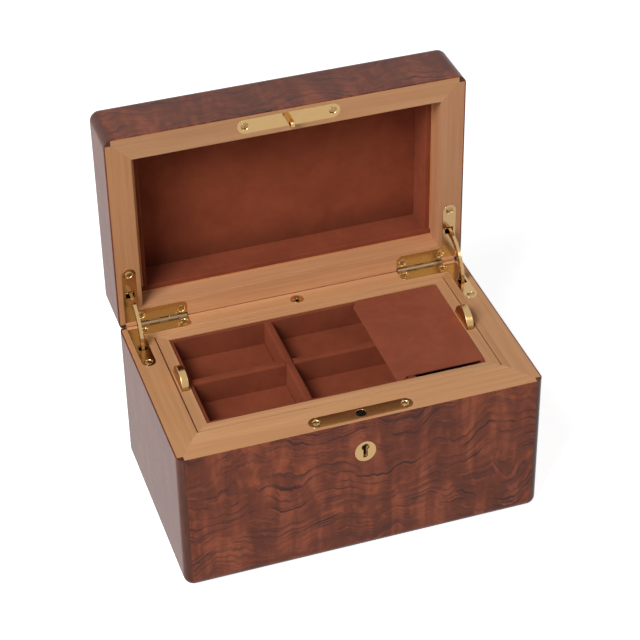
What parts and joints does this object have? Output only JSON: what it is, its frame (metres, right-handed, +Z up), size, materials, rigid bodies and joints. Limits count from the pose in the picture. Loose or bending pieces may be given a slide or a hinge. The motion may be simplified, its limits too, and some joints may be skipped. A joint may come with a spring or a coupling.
{
  "type": "cufflink display box",
  "caption": "Hinged wooden box in glossy burl veneer with a lift-out suede tray, a hinged tray flap, brass quadrant-stay hinges, half-moon tray lifts and a box lock.",
  "frame": {"origin": "centre of the underside of the base, on the surface that the box stands on", "axes": "+X to the right seen from the front, +Y from the lock at the front to the hinges at the back, +Z up. The box stands with its lid open at the stop."},
  "size_m": [0.23, 0.1775, 0.239],
  "materials": {
    "burl_veneer": "dark burl walnut veneer under polished clear lacquer",
    "dark_edging": "near-black stained hardwood under polished clear lacquer",
    "cedar": "plain red-brown cedar, satin lacquer",
    "suede": "brick-brown suede lining",
    "baize": "dark green baize",
    "polished_brass": "polished",
    "case_steel": "plain steel",
    "pin_steel": "drawn steel"
  },
  "bodies": {
    "base": {"base_front_wall": "cedar", "base_back_wall": "cedar", "base_left_wall": "cedar", "base_right_wall": "cedar", "base_bottom_board": "cedar", "base_front_veneer": "burl_veneer", "base_back_veneer": "burl_veneer", "base_side_veneers": "burl_veneer", "base_corner_posts": "dark_edging", "base_foot_edging": "dark_edging", "underside_baize": "baize", "liner_front": "cedar", "liner_back": "cedar", "liner_left": "cedar", "liner_right": "cedar", "well_floor_pad": "suede", "well_lining_boards": "suede", "lock_plate": "polished_brass", "lock_case": "case_steel", "base_screws": "polished_brass", "keyhole_escutcheon": "polished_brass", "rim_bush": "polished_brass", "base_hinge_leaf_left": "polished_brass", "base_hinge_leaf_right": "polished_brass", "hinge_pins": "pin_steel"},
    "lid": {"lid_front_wall": "cedar", "lid_back_wall": "cedar", "lid_left_wall": "cedar", "lid_right_wall": "cedar", "lid_top_board": "cedar", "lid_top_veneer": "burl_veneer", "lid_front_veneer": "burl_veneer", "lid_back_veneer": "burl_veneer", "lid_side_veneers": "burl_veneer", "lid_corner_posts": "dark_edging", "lid_top_edging": "dark_edging", "lid_lining_panel": "suede", "lid_lining_boards": "suede", "hook_plate": "polished_brass", "lid_hook": "polished_brass", "lid_screws": "polished_brass", "lid_hinge_leaf_left": "polished_brass", "lid_hinge_leaf_right": "polished_brass"},
    "tray": {"tray_front_rail": "cedar", "tray_back_rail": "cedar", "tray_left_rail": "cedar", "tray_right_rail": "cedar", "tray_bottom": "cedar", "tray_lining_boards": "suede", "tray_long_dividers": "suede", "tray_cross_dividers": "suede", "tray_floor_pads": "suede", "tray_lift_pins": "pin_steel"},
    "flap": {"tray_flap": "suede"},
    "stay_left": {"stay_arm_left": "polished_brass"},
    "stay_right": {"stay_arm_right": "polished_brass"},
    "lift_left": {"tray_lift_left": "polished_brass"},
    "lift_right": {"tray_lift_right": "polished_brass"},
    "bolt": {"lock_bolt": "polished_brass"}
  },
  "joints": [
    {"name": "lid_hinge", "type": "hinge", "parent": "base", "child": "lid", "pos_m": [0, 0.0673, 0.1017], "axis": [-1, 0, 0], "range_deg": [-90, 0]},
    {"name": "stay_left_swing", "type": "hinge", "parent": "base", "child": "stay_left", "pos_m": [0, 0.0673, 0.1017], "axis": [-1, 0, 0], "range_deg": [-45, 0]},
    {"name": "stay_right_swing", "type": "hinge", "parent": "base", "child": "stay_right", "pos_m": [0, 0.0673, 0.1017], "axis": [-1, 0, 0], "range_deg": [-45, 0]},
    {"name": "tray_lift_out", "type": "slide", "parent": "base", "child": "tray", "axis": [0, 0, 1], "range_m": [0, 0.05]},
    {"name": "flap_hinge", "type": "hinge", "parent": "tray", "child": "flap", "pos_m": [0.0618, 0.0454, 0.10128], "axis": [-1, 0, 0], "range_deg": [0, 95]},
    {"name": "lift_left_turn", "type": "hinge", "parent": "tray", "child": "lift_left", "pos_m": [-0.0922, 0.0036, 0.1004], "axis": [1, 0, 0], "range_deg": [0, 180]},
    {"name": "lift_right_turn", "type": "hinge", "parent": "tray", "child": "lift_right", "pos_m": [0.0922, 0.0036, 0.1004], "axis": [1, 0, 0], "range_deg": [0, 180]},
    {"name": "bolt_throw", "type": "slide", "parent": "base", "child": "bolt", "axis": [1, 0, 0], "range_m": [0, 0.0046]}
  ],
  "couplings": [
    {"joint": "stay_left_swing", "follows": "lid_hinge", "ratio": 0.5},
    {"joint": "stay_right_swing", "follows": "lid_hinge", "ratio": 0.5}
  ]
}
